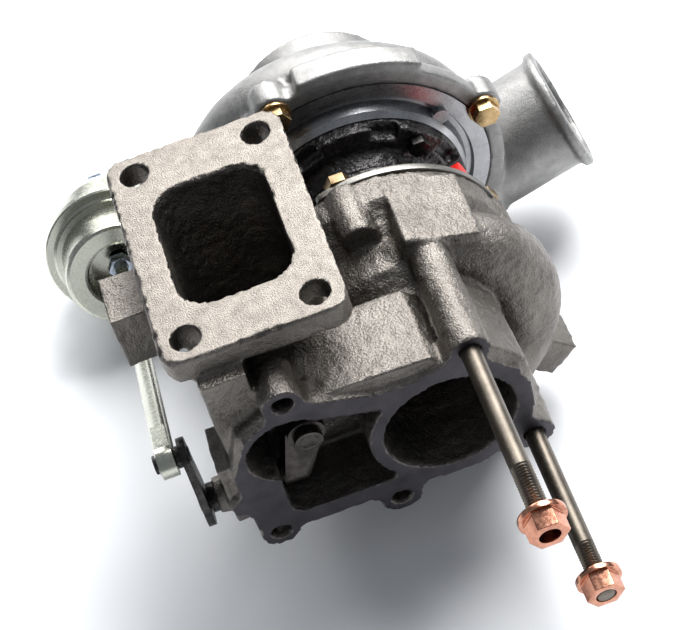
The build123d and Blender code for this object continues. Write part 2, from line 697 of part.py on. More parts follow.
with BuildPart() as wastegate_bushing:
    bar(crank_at(BUSHING_ENDS[0]), crank_at(BUSHING_ENDS[1]), BUSHING_R)
    bar(crank_at(-100), crank_at(-60), CRANK_R + RUNNING, Mode.SUBTRACT)
save(wastegate_bushing, "wastegate_bushing")

with BuildPart() as wastegate_crank:
    bar(crank_at(LEVER_X - 0.8), crank_at(-62), CRANK_R)
    bar(crank_at(HUB_X[0]), crank_at(HUB_X[1]), 5.6)
    with BuildSketch(station(10)) as web:
        with BuildLine():
            Polyline((HUB_X[0], -15), (HUB_X[1], -18), (-46.5, 9), (-47, 19), (-55, 21), (-61, 14), (-64, 0),
                     close=True)
        make_face()
        fillet(web.vertices(), radius=2.5)
    extrude(web.sketch, amount=-9)
    disc([(VALVE_X, VALVE_Z)], 7.4, 8.2, 20)
    disc([(VALVE_X, VALVE_Z)], 3.55, 0, 25, Mode.SUBTRACT)
save(wastegate_crank, "wastegate_crank")

with BuildPart() as wastegate_valve:
    disc([(VALVE_X, VALVE_Z)], VALVE_R, 22.6, VALVE_BACK)
    disc([(VALVE_X, VALVE_Z)], 6.0, 20.2, 23)
    disc([(VALVE_X, VALVE_Z)], 3.5, 4.4, 23)
save(wastegate_valve, "wastegate_valve")

with BuildPart() as valve_washer:
    disc([(VALVE_X, VALVE_Z)], 5.6, 4.4, 8.0)
    disc([(VALVE_X, VALVE_Z)], 3.5, 4, 9, Mode.SUBTRACT)
save(valve_washer, "valve_washer")

with BuildPart() as wastegate_lever:
    with BuildSketch(Plane.YZ.offset(LEVER_X)) as outline:
        with Locations((CRANK_Y, CRANK_Z)):
            Circle(LEVER_HUB_R)
        with Locations((PIN_Y, PIN_Z)):
            Circle(LEVER_EYE_R)
        make_hull()
    extrude(outline.sketch, amount=LEVER_THICK)
    bar(crank_at(-105), crank_at(-90), CRANK_R, Mode.SUBTRACT)
    bar((-105, PIN_Y, PIN_Z), (-90, PIN_Y, PIN_Z), 3.0, Mode.SUBTRACT)
save(wastegate_lever, "wastegate_lever")


# ---- Lever pin and actuator rod -------------------------------------------------------------------
PIN_R = 3.0
PIN_HEAD_R = 3.7
EYE_R = 6.6
EYE_X = (-109.4, -103.0)
PIN_ENDS = (-111.3, -97.0)


def pin_at(x):
    """A point on the lever pin's axis."""
    return (x, PIN_Y, PIN_Z)


def across_rod(distance):
    """The plane across the actuator rod, with its x along X."""
    return Plane(origin=along_rod(distance), x_dir=(1, 0, 0), z_dir=ROD_WAY)


def about_rod(points):
    """A solid of revolution about the actuator rod, from its (radius, distance from the pin) outline."""
    with BuildSketch(Plane(origin=along_rod(0), x_dir=(1, 0, 0), z_dir=ROD_UP)) as outline:
        with BuildLine():
            Polyline(*points, close=True)
        make_face()
    revolve(outline.sketch, axis=Axis(along_rod(0), ROD_WAY))


with BuildPart() as lever_pin:
    bar(pin_at(PIN_ENDS[0]), pin_at(PIN_ENDS[1]), PIN_R)
    bar(pin_at(PIN_ENDS[0]), pin_at(EYE_X[0] - 0.6), PIN_HEAD_R)
    bar(pin_at(EYE_X[1] + 0.2), pin_at(LEVER_X), PIN_HEAD_R + 0.6)
save(lever_pin, "lever_pin")

with BuildPart() as pin_clip:
    with BuildSketch(Plane.YZ.offset(EYE_X[0] - 0.5)) as clip:
        with Locations((PIN_Y, PIN_Z)):
            Circle(PIN_HEAD_R + 0.9)
            Circle(PIN_R, mode=Mode.SUBTRACT)
            with Locations((0, -5)):
                Rectangle(3.0, 6, mode=Mode.SUBTRACT)
    extrude(clip.sketch, amount=0.4)
save(pin_clip, "pin_clip")

with BuildPart() as rod_end:
    bar(along_rod(5), along_rod(ROD_SLEEVE_END), SLEEVE_R)
    with BuildSketch(across_rod(3)) as shoulder:
        Rectangle(5.6, 2 * SLEEVE_R + 0.8)
    extrude(shoulder.sketch, amount=15)
    bar(pin_at(EYE_X[0]), pin_at(EYE_X[1]), EYE_R)
    bar(pin_at(EYE_X[0] - 1), pin_at(EYE_X[1] + 1), PIN_R + RUNNING, Mode.SUBTRACT)
    bar(along_rod(70), along_rod(ROD_SLEEVE_END + 1), ROD_R, Mode.SUBTRACT)
save(rod_end, "rod_end")

with BuildPart() as lock_nut:
    with BuildSketch(across_rod(LOCK_NUT_FACE)) as nut:
        hexagon(10)
    extrude(nut.sketch, amount=LOCK_NUT_THICK)
    bar(along_rod(LOCK_NUT_FACE - 1), along_rod(LOCK_NUT_FACE + LOCK_NUT_THICK + 1), ROD_R, Mode.SUBTRACT)
save(lock_nut, "lock_nut")

with BuildPart() as actuator_rod:
    bar(along_rod(71), along_rod(PISTON_FRONT), ROD_R)
save(actuator_rod, "actuator_rod")


# ---- Actuator can ---------------------------------------------------------------------------------
CRIMP_R = CAN_RIM_R - 1.2
REAR_R = CAN_R - 0.2

with BuildPart() as can_front:
    about_rod([(ROD_HOLE_R, RECESS_FLOOR), (RECESS_R, RECESS_FLOOR), (RECESS_R, CAN_FRONT + 1.9),
               (RECESS_R + 0.8, CAN_FRONT + 0.5), (RECESS_R + 1.9, CAN_FRONT), (CAN_R - 1.8, CAN_FRONT),
               (CAN_R - 0.5, CAN_FRONT + 0.5), (CAN_R, CAN_FRONT + 1.8), (CAN_R, CAN_STEP_FRONT),
               (CAN_STEP_R, CAN_STEP_FRONT + 0.4), (CAN_STEP_R, CAN_RIM_FRONT - 0.6),
               (CAN_STEP_R + 1, CAN_RIM_FRONT), (CAN_RIM_R - 0.6, CAN_RIM_FRONT),
               (CAN_RIM_R, CAN_RIM_FRONT + 0.7), (CAN_RIM_R, CAN_RIM_REAR - 0.7),
               (CAN_RIM_R - 0.7, CAN_RIM_REAR), (CRIMP_R - 3, CAN_RIM_REAR),
               (CRIMP_R - 3, DIAPHRAGM_REAR + CAN_WALL), (CRIMP_R, DIAPHRAGM_REAR + CAN_WALL),
               (CRIMP_R, DIAPHRAGM_FRONT), (CAN_STEP_R, DIAPHRAGM_FRONT), (CAN_STEP_R - CAN_WALL, CAN_RIM_FRONT),
               (CAN_STEP_R - CAN_WALL, CAN_STEP_FRONT + 1.6), (CAN_R - CAN_WALL, CAN_STEP_FRONT + 1.2),
               (CAN_R - CAN_WALL, CAN_FRONT + 2.4), (CAN_R - 2.2, CAN_FRONT + CAN_WALL),
               (RECESS_R + 1.8, CAN_FRONT + CAN_WALL), (RECESS_R + CAN_WALL, CAN_FRONT + 2.1),
               (RECESS_R + CAN_WALL, RECESS_FLOOR + CAN_WALL), (ROD_HOLE_R, RECESS_FLOOR + CAN_WALL)])
save(can_front, "can_front")

with BuildPart() as can_rear:
    about_rod([(3.2, CAN_REAR - CAN_WALL), (16.6, CAN_REAR - CAN_WALL), (21.4, CAN_REAR - 3.4), (23.0, CAN_REAR - 6),
               (REAR_R - CAN_WALL, CAN_REAR - 9), (REAR_R - CAN_WALL, DIAPHRAGM_REAR), (CRIMP_R, DIAPHRAGM_REAR),
               (CRIMP_R, DIAPHRAGM_REAR + CAN_WALL), (REAR_R, DIAPHRAGM_REAR + CAN_WALL),
               (REAR_R, CAN_REAR - 8.6), (24.1, CAN_REAR - 5.4), (22.2, CAN_REAR - 2.4), (17.0, CAN_REAR),
               (3.2, CAN_REAR)])
save(can_rear, "can_rear")

with BuildPart() as diaphragm:
    about_rod([(0, PISTON_REAR), (20.4, PISTON_REAR), (20.8, PISTON_REAR - 0.8), (22.4, DIAPHRAGM_FRONT),
               (CRIMP_R - 0.1, DIAPHRAGM_FRONT), (CRIMP_R - 0.1, DIAPHRAGM_REAR), (23.1, DIAPHRAGM_REAR),
               (21.6, PISTON_REAR - 0.4), (21.0, PISTON_REAR + 0.8), (0, PISTON_REAR + 0.8)])
save(diaphragm, "diaphragm")

with BuildPart() as diaphragm_piston:
    about_rod([(0, PISTON_FRONT), (19.0, PISTON_FRONT), (19.0, PISTON_LIP), (20.2, PISTON_LIP), (20.2, PISTON_REAR),
               (0, PISTON_REAR)])
save(diaphragm_piston, "diaphragm_piston")

SPRING_R, SPRING_WIRE_R, SPRING_TURNS = 17.4, 1.0, 5
SPRING_START = CAN_FRONT + CAN_WALL + SPRING_WIRE_R + 0.05
SPRING_RUN = PISTON_FRONT - SPRING_WIRE_R - 0.05 - SPRING_START

with BuildPart() as actuator_spring:
    with BuildLine() as coil:
        Helix(SPRING_RUN / SPRING_TURNS, SPRING_RUN, SPRING_R, center=along_rod(SPRING_START), direction=ROD_WAY)
    with BuildSketch(Plane(origin=coil.edge() @ 0, z_dir=coil.edge() % 0)) as wire:
        Circle(SPRING_WIRE_R)
    sweep(wire.sketch, path=coil.edge())
save(actuator_spring, "actuator_spring")

with BuildPart() as hose_nipple:
    about_rod([(NIPPLE_BORE_R, CAN_REAR - 2), (3.2, CAN_REAR - 2), (3.2, CAN_REAR), (5.5, CAN_REAR),
               (5.5, CAN_REAR + 5), (NIPPLE_R, CAN_REAR + 5), (NIPPLE_R, NIPPLE_END), (NIPPLE_BORE_R, NIPPLE_END)])
save(hose_nipple, "hose_nipple")


# ---- Actuator bracket and its fasteners -----------------------------------------------------------
BRACKET_REAR = CAN_REAR + BRACKET_THICK
CAN_STUD_UPS = (CAN_STUD_OFFSET, -CAN_STUD_OFFSET)

with BuildPart() as can_studs:
    for up in CAN_STUD_UPS:
        bar(along_rod(CAN_REAR, up), along_rod(CAN_REAR + 10, up), ROD_R)
save(can_studs, "can_studs")

with BuildPart() as actuator_bracket:
    inner, outer = BRACKET_LEG_X[0] - ROD_X, BRACKET_LEG_X[1] - ROD_X
    with BuildSketch(across_rod(CAN_REAR)) as plate:
        Circle(19)
        with Locations(((inner + outer) / 2, 0)):
            Rectangle(outer - inner, 28)
        make_hull()
        Circle(6.5, mode=Mode.SUBTRACT)
        with Locations((22.5, 0)):
            Circle(5, mode=Mode.SUBTRACT)
        with Locations((0, CAN_STUD_OFFSET), (0, -CAN_STUD_OFFSET)):
            Circle(ROD_R, mode=Mode.SUBTRACT)
    extrude(plate.sketch, amount=BRACKET_THICK)
    with BuildSketch(across_rod(CAN_FRONT - 2)) as leg:
        with Locations(((inner + outer) / 2, 0)):
            Rectangle(outer - inner, 28)
    extrude(leg.sketch, amount=BRACKET_REAR - CAN_FRONT + 2)
    for x, y, z in bracket_bolt_places(BRACKET_LEG_X[0] - 1):
        bar((x, y, z), (x + 6, y, z), ROD_R, Mode.SUBTRACT)
save(actuator_bracket, "actuator_bracket")

with BuildPart() as can_nuts:
    with BuildSketch(across_rod(BRACKET_REAR)) as nuts:
        with Locations((0, CAN_STUD_OFFSET), (0, -CAN_STUD_OFFSET)):
            hexagon(10)
    extrude(nuts.sketch, amount=5)
    for up in CAN_STUD_UPS:
        bar(along_rod(CAN_REAR, up), along_rod(CAN_REAR + 11, up), ROD_R, Mode.SUBTRACT)
save(can_nuts, "can_nuts")

with BuildPart() as bracket_bolts:
    with BuildSketch(Plane.YZ.offset(BRACKET_LEG_X[0])) as heads:
        for x, y, z in bracket_bolt_places(BRACKET_LEG_X[0]):
            with Locations((y, z)):
                hexagon(10)
    extrude(heads.sketch, amount=-4.5)
    for x, y, z in bracket_bolt_places(BRACKET_LEG_X[0]):
        bar((x, y, z), (x + 12, y, z), ROD_R)
save(bracket_bolts, "bracket_bolts")
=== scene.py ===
"""Looks of the turbocharger: castings, fasteners, wastegate linkage, studio and camera."""

import json
from math import cos, pi, radians, sin

import bmesh
import bpy
import numpy as np
from mathutils import Matrix, Vector, noise


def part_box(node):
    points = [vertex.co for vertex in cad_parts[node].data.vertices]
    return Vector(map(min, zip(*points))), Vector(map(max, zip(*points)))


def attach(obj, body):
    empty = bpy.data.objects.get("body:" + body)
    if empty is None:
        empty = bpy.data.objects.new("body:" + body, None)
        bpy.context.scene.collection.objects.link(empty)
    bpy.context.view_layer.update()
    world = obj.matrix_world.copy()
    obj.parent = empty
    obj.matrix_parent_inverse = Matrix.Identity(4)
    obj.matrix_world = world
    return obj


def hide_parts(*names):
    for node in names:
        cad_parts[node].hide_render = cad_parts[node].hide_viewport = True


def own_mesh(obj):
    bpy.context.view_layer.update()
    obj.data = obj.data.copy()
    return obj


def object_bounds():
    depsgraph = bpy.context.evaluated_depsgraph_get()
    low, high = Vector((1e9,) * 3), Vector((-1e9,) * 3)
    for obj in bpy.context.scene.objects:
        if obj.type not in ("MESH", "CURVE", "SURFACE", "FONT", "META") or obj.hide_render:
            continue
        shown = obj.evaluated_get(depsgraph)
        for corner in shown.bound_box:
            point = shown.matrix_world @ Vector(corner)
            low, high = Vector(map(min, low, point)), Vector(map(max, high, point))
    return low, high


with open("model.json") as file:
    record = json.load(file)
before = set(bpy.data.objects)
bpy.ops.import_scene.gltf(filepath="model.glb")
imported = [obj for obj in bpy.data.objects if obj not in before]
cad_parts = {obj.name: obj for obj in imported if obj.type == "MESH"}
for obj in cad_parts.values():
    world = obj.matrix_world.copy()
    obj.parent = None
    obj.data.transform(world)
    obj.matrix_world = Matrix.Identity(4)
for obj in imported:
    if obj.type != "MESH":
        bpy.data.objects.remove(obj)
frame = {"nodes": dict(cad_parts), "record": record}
CAD_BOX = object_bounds()
NODES = frame["nodes"]
RECORD = frame["record"]
SLOT_OF = {part["node"]: part["material_slot"] for part in RECORD["subparts"]}
BODY_OF = {node: body for body, nodes in RECORD["behaviour"]["bodies"].items() for node in nodes}
MM = 0.001


# ---- Camera ---------------------------------------------------------------------------------------
CAMERA_PLACE = Vector((-0.04715, -0.40615, 0.60209))
CAMERA_RIGHT = (0.94123, -0.28166, -0.18643)
CAMERA_UP = (0.33651, 0.73427, 0.58959)
CAMERA_BACK = (-0.02917, -0.61767, 0.78590)
LENS = 101.34


def add_camera():
    """The camera, looking down on the inlet flange and the outlet face."""
    camera = bpy.data.objects.new("camera", bpy.data.cameras.new("camera"))
    camera.data.sensor_width = 36.0
    camera.data.lens = LENS
    camera.data.clip_end = 20.0
    turn = Matrix((CAMERA_RIGHT, CAMERA_UP, CAMERA_BACK)).transposed()
    camera.matrix_world = Matrix.Translation(CAMERA_PLACE) @ turn.to_4x4()
    bpy.context.scene.collection.objects.link(camera)
    bpy.context.scene.camera = camera


# ---- Finishes -------------------------------------------------------------------------------------
def ramp(tree, source, low, high, dark, light):
    """A colour that runs from dark to light as source goes from low to high."""
    node = tree.nodes.new("ShaderNodeValToRGB")
    node.color_ramp.elements[0].position = low
    node.color_ramp.elements[0].color = (*dark, 1)
    node.color_ramp.elements[1].position = high
    node.color_ramp.elements[1].color = (*light, 1)
    tree.links.new(source, node.inputs["Fac"])
    return node.outputs["Color"]


def grain(tree, place, scale, detail, roughness=0.6):
    """Noise in the object's own space; scale is in features per metre."""
    node = tree.nodes.new("ShaderNodeTexNoise")
    node.inputs["Scale"].default_value = scale
    node.inputs["Detail"].default_value = detail
    node.inputs["Roughness"].default_value = roughness
    tree.links.new(place, node.inputs["Vector"])
    return node.outputs["Fac"]


def spread(tree, source, low, high):
    """source, which lies mostly between 0.3 and 0.7, spread over low to high."""
    node = tree.nodes.new("ShaderNodeMapRange")
    node.inputs["From Min"].default_value = 0.3
    node.inputs["From Max"].default_value = 0.7
    node.inputs["To Min"].default_value = low
    node.inputs["To Max"].default_value = high
    tree.links.new(source, node.inputs["Value"])
    return node.outputs["Result"]


def finish(name, dark, light, rough, metallic=1.0, patch=90, fine=900, depth=0.2, bump=0.3, detail=6):
    """A material whose colour, roughness and relief vary with two sizes of grain."""
    material = bpy.data.materials.new(name)
    material.use_nodes = True
    tree = material.node_tree
    shader = tree.nodes["Principled BSDF"]
    place = tree.nodes.new("ShaderNodeTexCoord").outputs["Object"]
    patches = grain(tree, place, patch, 4)
    specks = grain(tree, place, fine, detail, 0.6)
    both = tree.nodes.new("ShaderNodeMath")
    both.operation = "MULTIPLY_ADD"
    both.inputs[1].default_value = 0.5
    tree.links.new(patches, both.inputs[0])
    half = tree.nodes.new("ShaderNodeMath")
    half.operation = "MULTIPLY"
    half.inputs[1].default_value = 0.5
    tree.links.new(specks, half.inputs[0])
    tree.links.new(half.outputs[0], both.inputs[2])
    tree.links.new(ramp(tree, both.outputs[0], 0.36, 0.64, dark, light), shader.inputs["Base Color"])
    tree.links.new(spread(tree, specks, rough[0], rough[1]), shader.inputs["Roughness"])
    shader.inputs["Metallic"].default_value = metallic
    relief = tree.nodes.new("ShaderNodeBump")
    relief.inputs["Strength"].default_value = bump
    relief.inputs["Distance"].default_value = depth * MM
    tree.links.new(specks, relief.inputs["Height"])
    tree.links.new(relief.outputs["Normal"], shader.inputs["Normal"])
    return material


# Each look is a dark and a light colour, the range of its roughness, and how its grain differs.
LOOKS = {
    "cast_iron": dict(dark=(0.105, 0.095, 0.085), light=(0.225, 0.207, 0.188),
                      rough=(0.36, 0.5), patch=45, fine=1050, depth=0.5, bump=1.0, detail=3),
    "inlet_face": dict(dark=(0.14, 0.126, 0.112), light=(0.265, 0.241, 0.215),
                       rough=(0.36, 0.52), patch=240, fine=1500, depth=0.3, bump=1.0, detail=4),
    "outlet_face": dict(dark=(0.036, 0.033, 0.037), light=(0.082, 0.076, 0.084),
                        rough=(0.36, 0.54), patch=90, fine=2000, depth=0.25, bump=0.7),
    "stud_steel": dict(dark=(0.085, 0.073, 0.06), light=(0.17, 0.148, 0.122),
                       rough=(0.34, 0.5), fine=1500, depth=0.1),
    "copper": dict(dark=(0.4, 0.165, 0.105), light=(0.68, 0.34, 0.23),
                   rough=(0.16, 0.28), patch=150, fine=700, depth=0.05),
    "plate_steel": dict(dark=(0.13, 0.125, 0.115), light=(0.27, 0.26, 0.24),
                        rough=(0.32, 0.5), fine=1400, depth=0.12),
    "bronze_zinc": dict(dark=(0.17, 0.115, 0.06), light=(0.34, 0.25, 0.15),
                        rough=(0.26, 0.42), fine=1500, depth=0.1),
    "dark_iron": dict(dark=(0.035, 0.034, 0.035), light=(0.105, 0.1, 0.098),
                      rough=(0.32, 0.48), patch=80, fine=620, depth=0.7, bump=0.9, detail=2),
    "red_plastic": dict(dark=(0.52, 0.008, 0.006), light=(0.7, 0.02, 0.014),
                        rough=(0.3, 0.42), metallic=0.0, fine=900, depth=0.05, bump=0.15),
    "inconel": dict(dark=(0.11, 0.1, 0.09), light=(0.25, 0.23, 0.21),
                    rough=(0.3, 0.46), fine=1200, depth=0.1),
    "bronze": dict(dark=(0.3, 0.19, 0.08), light=(0.5, 0.35, 0.18),
                   rough=(0.24, 0.36), fine=1400, depth=0.05),
    "spring_steel": dict(dark=(0.18, 0.18, 0.19), light=(0.38, 0.38, 0.4),
                         rough=(0.2, 0.34), fine=1400, depth=0.05),
    "tool_steel": dict(dark=(0.24, 0.24, 0.25), light=(0.42, 0.42, 0.43),
                       rough=(0.18, 0.3), fine=1800, depth=0.05),
    "machined_aluminium": dict(dark=(0.26, 0.26, 0.27), light=(0.46, 0.46, 0.47),
                               rough=(0.24, 0.4), fine=2200, depth=0.08),
    "dark_steel": dict(dark=(0.016, 0.015, 0.016), light=(0.07, 0.066, 0.064),
                       rough=(0.24, 0.44), patch=260, fine=1300, depth=0.15),
    "rubber": dict(dark=(0.01, 0.01, 0.01), light=(0.028, 0.028, 0.028),
                   rough=(0.55, 0.7), metallic=0.0, depth=0.1),
    "cast_aluminium": dict(dark=(0.2, 0.197, 0.193), light=(0.33, 0.325, 0.315),
                           rough=(0.4, 0.54), patch=200, fine=1700, depth=0.3, bump=0.7),
    "golden_zinc": dict(dark=(0.27, 0.175, 0.075), light=(0.5, 0.36, 0.19),
                        rough=(0.2, 0.36), patch=380, fine=1500, depth=0.1),
    "heat_steel": dict(dark=(0.035, 0.031, 0.029), light=(0.105, 0.095, 0.088),
                       rough=(0.3, 0.5), patch=320, fine=1200, depth=0.25, bump=0.5),
    "pale_zinc": dict(dark=(0.45, 0.455, 0.385), light=(0.58, 0.585, 0.51),
                      rough=(0.22, 0.3), patch=45, fine=700, depth=0.02, bump=0.15),
    "blue_zinc": dict(dark=(0.27, 0.31, 0.37), light=(0.48, 0.53, 0.6),
                      rough=(0.14, 0.28), patch=120, fine=900, depth=0.02, bump=0.15),
}
FINISHES = {name: finish(name, **look) for name, look in LOOKS.items()}


def paint_cad_nodes():
    """Every CAD node takes the finish of its slot."""
    for name, node in NODES.items():
        node.data.materials.clear()
        node.data.materials.append(FINISHES[SLOT_OF[name]])


# ---- Castings -------------------------------------------------------------------------------------
def add_piece(name, mesh, node):
    """A piece that stands for a CAD node: it rides with its body and takes its finish."""
    piece = bpy.data.objects.new(name, mesh)
    bpy.context.scene.collection.objects.link(piece)
    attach(piece, BODY_OF[node])
    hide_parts(node)
    return piece


def remeshed(node, voxel):
    """The CAD node's mesh again as even quads, with its edges rounded by about a voxel."""
    copy = bpy.data.objects.new("remesh", NODES[node].data.copy())
    bpy.context.scene.collection.objects.link(copy)
    change = copy.modifiers.new("remesh", "REMESH")
    change.mode = "VOXEL"
    change.voxel_size = voxel
    graph = bpy.context.evaluated_depsgraph_get()
    mesh = bpy.data.meshes.new_from_object(copy.evaluated_get(graph))
    bpy.data.objects.remove(copy)
    return mesh


def rounded(points, edges, free, rounds):
    """The points after a few rounds of averaging with their neighbours, where free is 1."""
    count = np.bincount(edges.ravel(), minlength=len(points))[:, None]
    for _ in range(rounds):
        total = np.zeros_like(points)
        for near, far in ((0, 1), (1, 0)):
            for axis in range(3):
                total[:, axis] += np.bincount(edges[:, near], points[edges[:, far], axis], len(points))
        points = points + 0.5 * free[:, None] * (total / np.maximum(count, 1) - points)
    return points


def sand_height(place, sizes):
    """Height of the sand texture at a place, the sum of noise of several (size, height) pairs."""
    return sum(height * noise.noise(place / size) for size, height in sizes)


def no_chips(points, normals):
    """No chipped edges."""
    return np.zeros(len(points))


def casting(node, voxel, free, sizes, rounds, chips=no_chips):
    """The node as a sand casting. free(points, normals) is 0 on machined faces and 1 on raw ones."""
    mesh = remeshed(node, voxel)
    count = len(mesh.vertices)
    points = np.empty(count * 3)
    normals = np.empty(count * 3)
    edges = np.empty(len(mesh.edges) * 2, dtype=np.int32)
    mesh.vertices.foreach_get("co", points)
    mesh.vertices.foreach_get("normal", normals)
    mesh.edges.foreach_get("vertices", edges)
    points, normals, edges = points.reshape(-1, 3), normals.reshape(-1, 3), edges.reshape(-1, 2)
    raw = free(points, normals)
    points = rounded(points, edges, raw, rounds)
    heights = np.array([sand_height(Vector(p), sizes) if r > 0 else 0.0 for p, r in zip(points, raw)])
    points = points + (raw * heights - chips(points, normals))[:, None] * normals
    low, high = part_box(node)
    points = np.clip(points, np.array(low), np.array(high))
    mesh.vertices.foreach_set("co", points.ravel())
    mesh.update()
    mesh.shade_smooth()
    return mesh


def face_slots(mesh, materials, choose):
    """Gives each face of the mesh one of the materials: choose(centres, normals) returns their numbers."""
    mesh.materials.clear()
    for material in materials:
        mesh.materials.append(material)
    count = len(mesh.polygons)
    centres = np.empty(count * 3)
    normals = np.empty(count * 3)
    mesh.polygons.foreach_get("center", centres)
    mesh.polygons.foreach_get("normal", normals)
    numbers = choose(centres.reshape(-1, 3), normals.reshape(-1, 3)).astype(np.int32)
    mesh.polygons.foreach_set("material_index", numbers)
    mesh.update()


INLET_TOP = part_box("turbine_housing")[1][2]
MACHINED_SKIN, RAW_BELOW = 0.4 * MM, 1.6 * MM
FACING, EDGE_FACING = 0.9, 0.93
HOUSING_VOXEL, COVER_VOXEL, CENTRE_VOXEL = 1.0 * MM, 1.15 * MM, 0.9 * MM
RAW_SNOUT_END = 174 * MM
SAND = ((11 * MM, 0.45 * MM), (3.2 * MM, 0.26 * MM), (2.0 * MM, 0.24 * MM))
CHIP_BAND, CHIP_SIZE, CHIP_STRETCH, CHIP_DEPTH = 1.1 * MM, 2.2 * MM, 13 * MM, 1.7 * MM
HOLE_REACH = 6.9 * MM
OUTLET_CHIP_SHARE = 0.3
WHEEL_ROOM = 0.35 * MM
BLASTED = ((14 * MM, 0.25 * MM), (3 * MM, 0.05 * MM))


def round_wheel(points):
    """True where the housing's bore runs close round the turbine wheel."""
    low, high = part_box("turbine_rotor")
    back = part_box("heat_shroud")[0][1]
    near = np.hypot(points[:, 0], points[:, 2]) < high[0] + 3 * MM
    return near & (points[:, 1] > low[1] - 2 * MM) & (points[:, 1] < back)


def turbine_free(points, normals):
    """Raw everywhere but near the inlet flange's top, the outlet face and the wheel."""
    below_inlet = np.clip((INLET_TOP - points[:, 2]) / RAW_BELOW - 0.25, 0, 1)
    behind_outlet = np.clip(points[:, 1] / RAW_BELOW - 0.25, 0, 1)
    return np.minimum(below_inlet, behind_outlet) * ~round_wheel(points)


def inlet_holes():
    """The middles of the inlet flange's bolt holes, seen from above."""
    pattern = next(mount for mount in RECORD["mounts"] if mount["name"] == "turbine_inlet")
    half_x, half_y = pattern["dims"]["spacing_x_mm"] * MM / 2, pattern["dims"]["spacing_y_mm"] * MM / 2
    x, y = pattern["pos_m"][0], pattern["pos_m"][1]
    return [(x + i * half_x, y + j * half_y) for i in (-1, 1) for j in (-1, 1)]


def turbine_chips(points, normals):
    """How deep the machined faces' edges are chipped, more in some stretches than in others."""
    inlet_edge = (points[:, 2] > INLET_TOP - CHIP_BAND) & (normals[:, 2] < EDGE_FACING)
    for x, y in inlet_holes():
        inlet_edge &= np.hypot(points[:, 0] - x, points[:, 1] - y) > HOLE_REACH
    outlet_edge = (points[:, 1] < CHIP_BAND) & (normals[:, 1] > -EDGE_FACING)
    depth = np.zeros(len(points))
    for index in np.nonzero(inlet_edge | outlet_edge)[0]:
        place = Vector(points[index])
        depth[index] = max(0.0, noise.noise(place / CHIP_SIZE) + 0.5 * noise.noise(place / CHIP_STRETCH))
    deepest = np.where(inlet_edge, CHIP_DEPTH, OUTLET_CHIP_SHARE * CHIP_DEPTH)
    return depth * deepest + WHEEL_ROOM * round_wheel(points)


def add_turbine_housing():
    """The cast iron housing, rough as cast, with its two machined faces."""
    mesh = casting("turbine_housing", HOUSING_VOXEL, turbine_free, SAND, 1, turbine_chips)

    def choose(centres, normals):
        inlet = (centres[:, 2] > INLET_TOP - MACHINED_SKIN) & (normals[:, 2] > FACING)
        outlet = (centres[:, 1] < MACHINED_SKIN) & (normals[:, 1] < -FACING)
        return inlet * 1 + outlet * 2

    face_slots(mesh, [FINISHES[name] for name in ("cast_iron", "inlet_face", "outlet_face")], choose)
    add_piece("turbine_housing_cast", mesh, "turbine_housing")


def add_compressor_housing():
    """The aluminium cover, blasted smooth, with its sharper turned snout."""
    def free(points, normals):
        return np.clip((RAW_SNOUT_END - points[:, 1]) / (3 * MM), 0, 1)

    mesh = casting("compressor_housing", COVER_VOXEL, free, BLASTED, 2)
    face_slots(mesh, [FINISHES["cast_aluminium"]], lambda centres, normals: 0 * centres[:, 0])
    add_piece("compressor_housing_cast", mesh, "compressor_housing")


def add_centre_housing():
    """The bearing housing's dark casting."""
    mesh = casting("centre_housing", CENTRE_VOXEL, lambda points, normals: np.ones(len(points)), SAND[1:], 1)
    face_slots(mesh, [FINISHES["dark_iron"]], lambda centres, normals: 0 * centres[:, 0])
    add_piece("centre_housing_cast", mesh, "centre_housing")


# ---- Fasteners and plates -------------------------------------------------------------------------
BEVELLED = ("outlet_nuts", "clamp_plate_upper", "clamp_plate_lower", "clamp_bolts", "compressor_bolts",
            "compressor_washers", "backplate_bolts", "wastegate_lever", "lever_pin", "rod_end", "lock_nut",
            "actuator_bracket", "can_nuts", "bracket_bolts", "wastegate_bushing", "wastegate_crank",
            "valve_washer", "wastegate_valve", "oil_inlet_plug")
SHARP = radians(28)
SMOOTH_BELOW = radians(35)
JOIN_WITHIN, FLAT_WITHIN = 0.002 * MM, radians(0.5)
EDGE_BEVEL = 0.22 * MM


def joined(mesh):
    """A bmesh of the mesh with its split corners joined and its flat faces whole."""
    work = bmesh.new()
    work.from_mesh(mesh)
    bmesh.ops.remove_doubles(work, verts=work.verts, dist=JOIN_WITHIN)
    bmesh.ops.dissolve_limit(work, angle_limit=FLAT_WITHIN, verts=work.verts, edges=work.edges)
    return work


def add_bevelled(node, width):
    """The CAD node with the small worn edges that catch the light."""
    work = joined(NODES[node].data)
    edges = [edge for edge in work.edges if len(edge.link_faces) == 2 and edge.calc_face_angle() > SHARP]
    bmesh.ops.bevel(work, geom=edges, offset=width, segments=2, profile=0.6, affect="EDGES",
                    clamp_overlap=True)
    mesh = bpy.data.meshes.new(node + "_bevelled")
    work.to_mesh(mesh)
    work.free()
    mesh.materials.clear()
    mesh.materials.append(FINISHES[SLOT_OF[node]])
    mesh.shade_smooth()
    mesh.set_sharp_from_angle(angle=SMOOTH_BELOW)
    add_piece(node + "_bevelled", mesh, node)


def islands(node):
    """The (lowest, highest) corners of each loose solid in a CAD node."""
    work = joined(NODES[node].data)
    left = set(work.verts)
    boxes = []
    while left:
        stack = [left.pop()]
        seen = []
        while stack:
            vert = stack.pop()
            seen.append(vert.co.copy())
            for edge in vert.link_edges:
                other = edge.other_vert(vert)
                if other in left:
                    left.remove(other)
                    stack.append(other)
        places = np.array(seen)
        boxes.append((places.min(0), places.max(0)))
    work.free()
    return boxes


